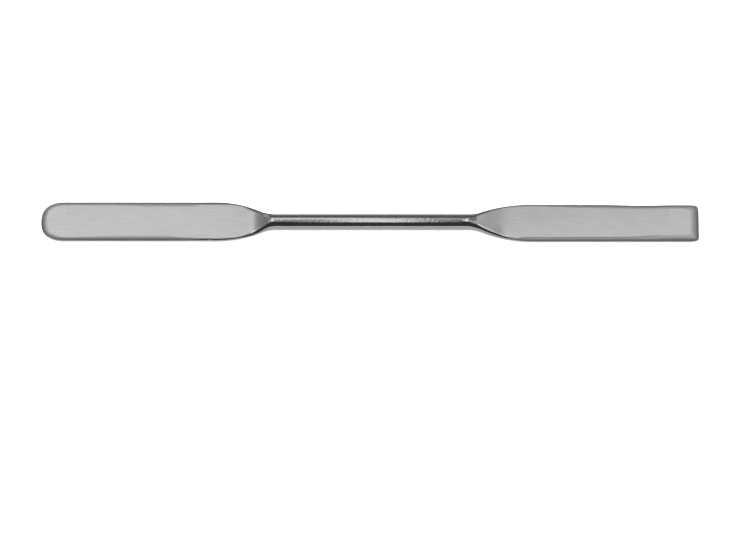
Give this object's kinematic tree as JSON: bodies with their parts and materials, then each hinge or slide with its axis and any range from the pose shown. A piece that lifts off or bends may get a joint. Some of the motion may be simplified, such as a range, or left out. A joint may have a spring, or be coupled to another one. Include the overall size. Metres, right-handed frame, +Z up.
{
  "type": "lab spatula",
  "caption": "Slim stainless steel laboratory spatula: a round handle pressed flat into a blade at each end, one with a rounded tip and one with a square end.",
  "frame": {"origin": "on the plane the spatula lies on, under the middle of its length and the handle's axis", "axes": "+X along the handle towards the square-ended blade, +Y across the blades, +Z up, square to the blades' faces"},
  "size_m": [0.15, 0.0094, 0.0036],
  "materials": {
    "stainless_steel": "bare stainless steel: faces satin ground along the length, rims ground round, handle drawn bright with fine pits"
  },
  "bodies": {
    "root": {"spatula": "stainless_steel"}
  },
  "joints": []
}
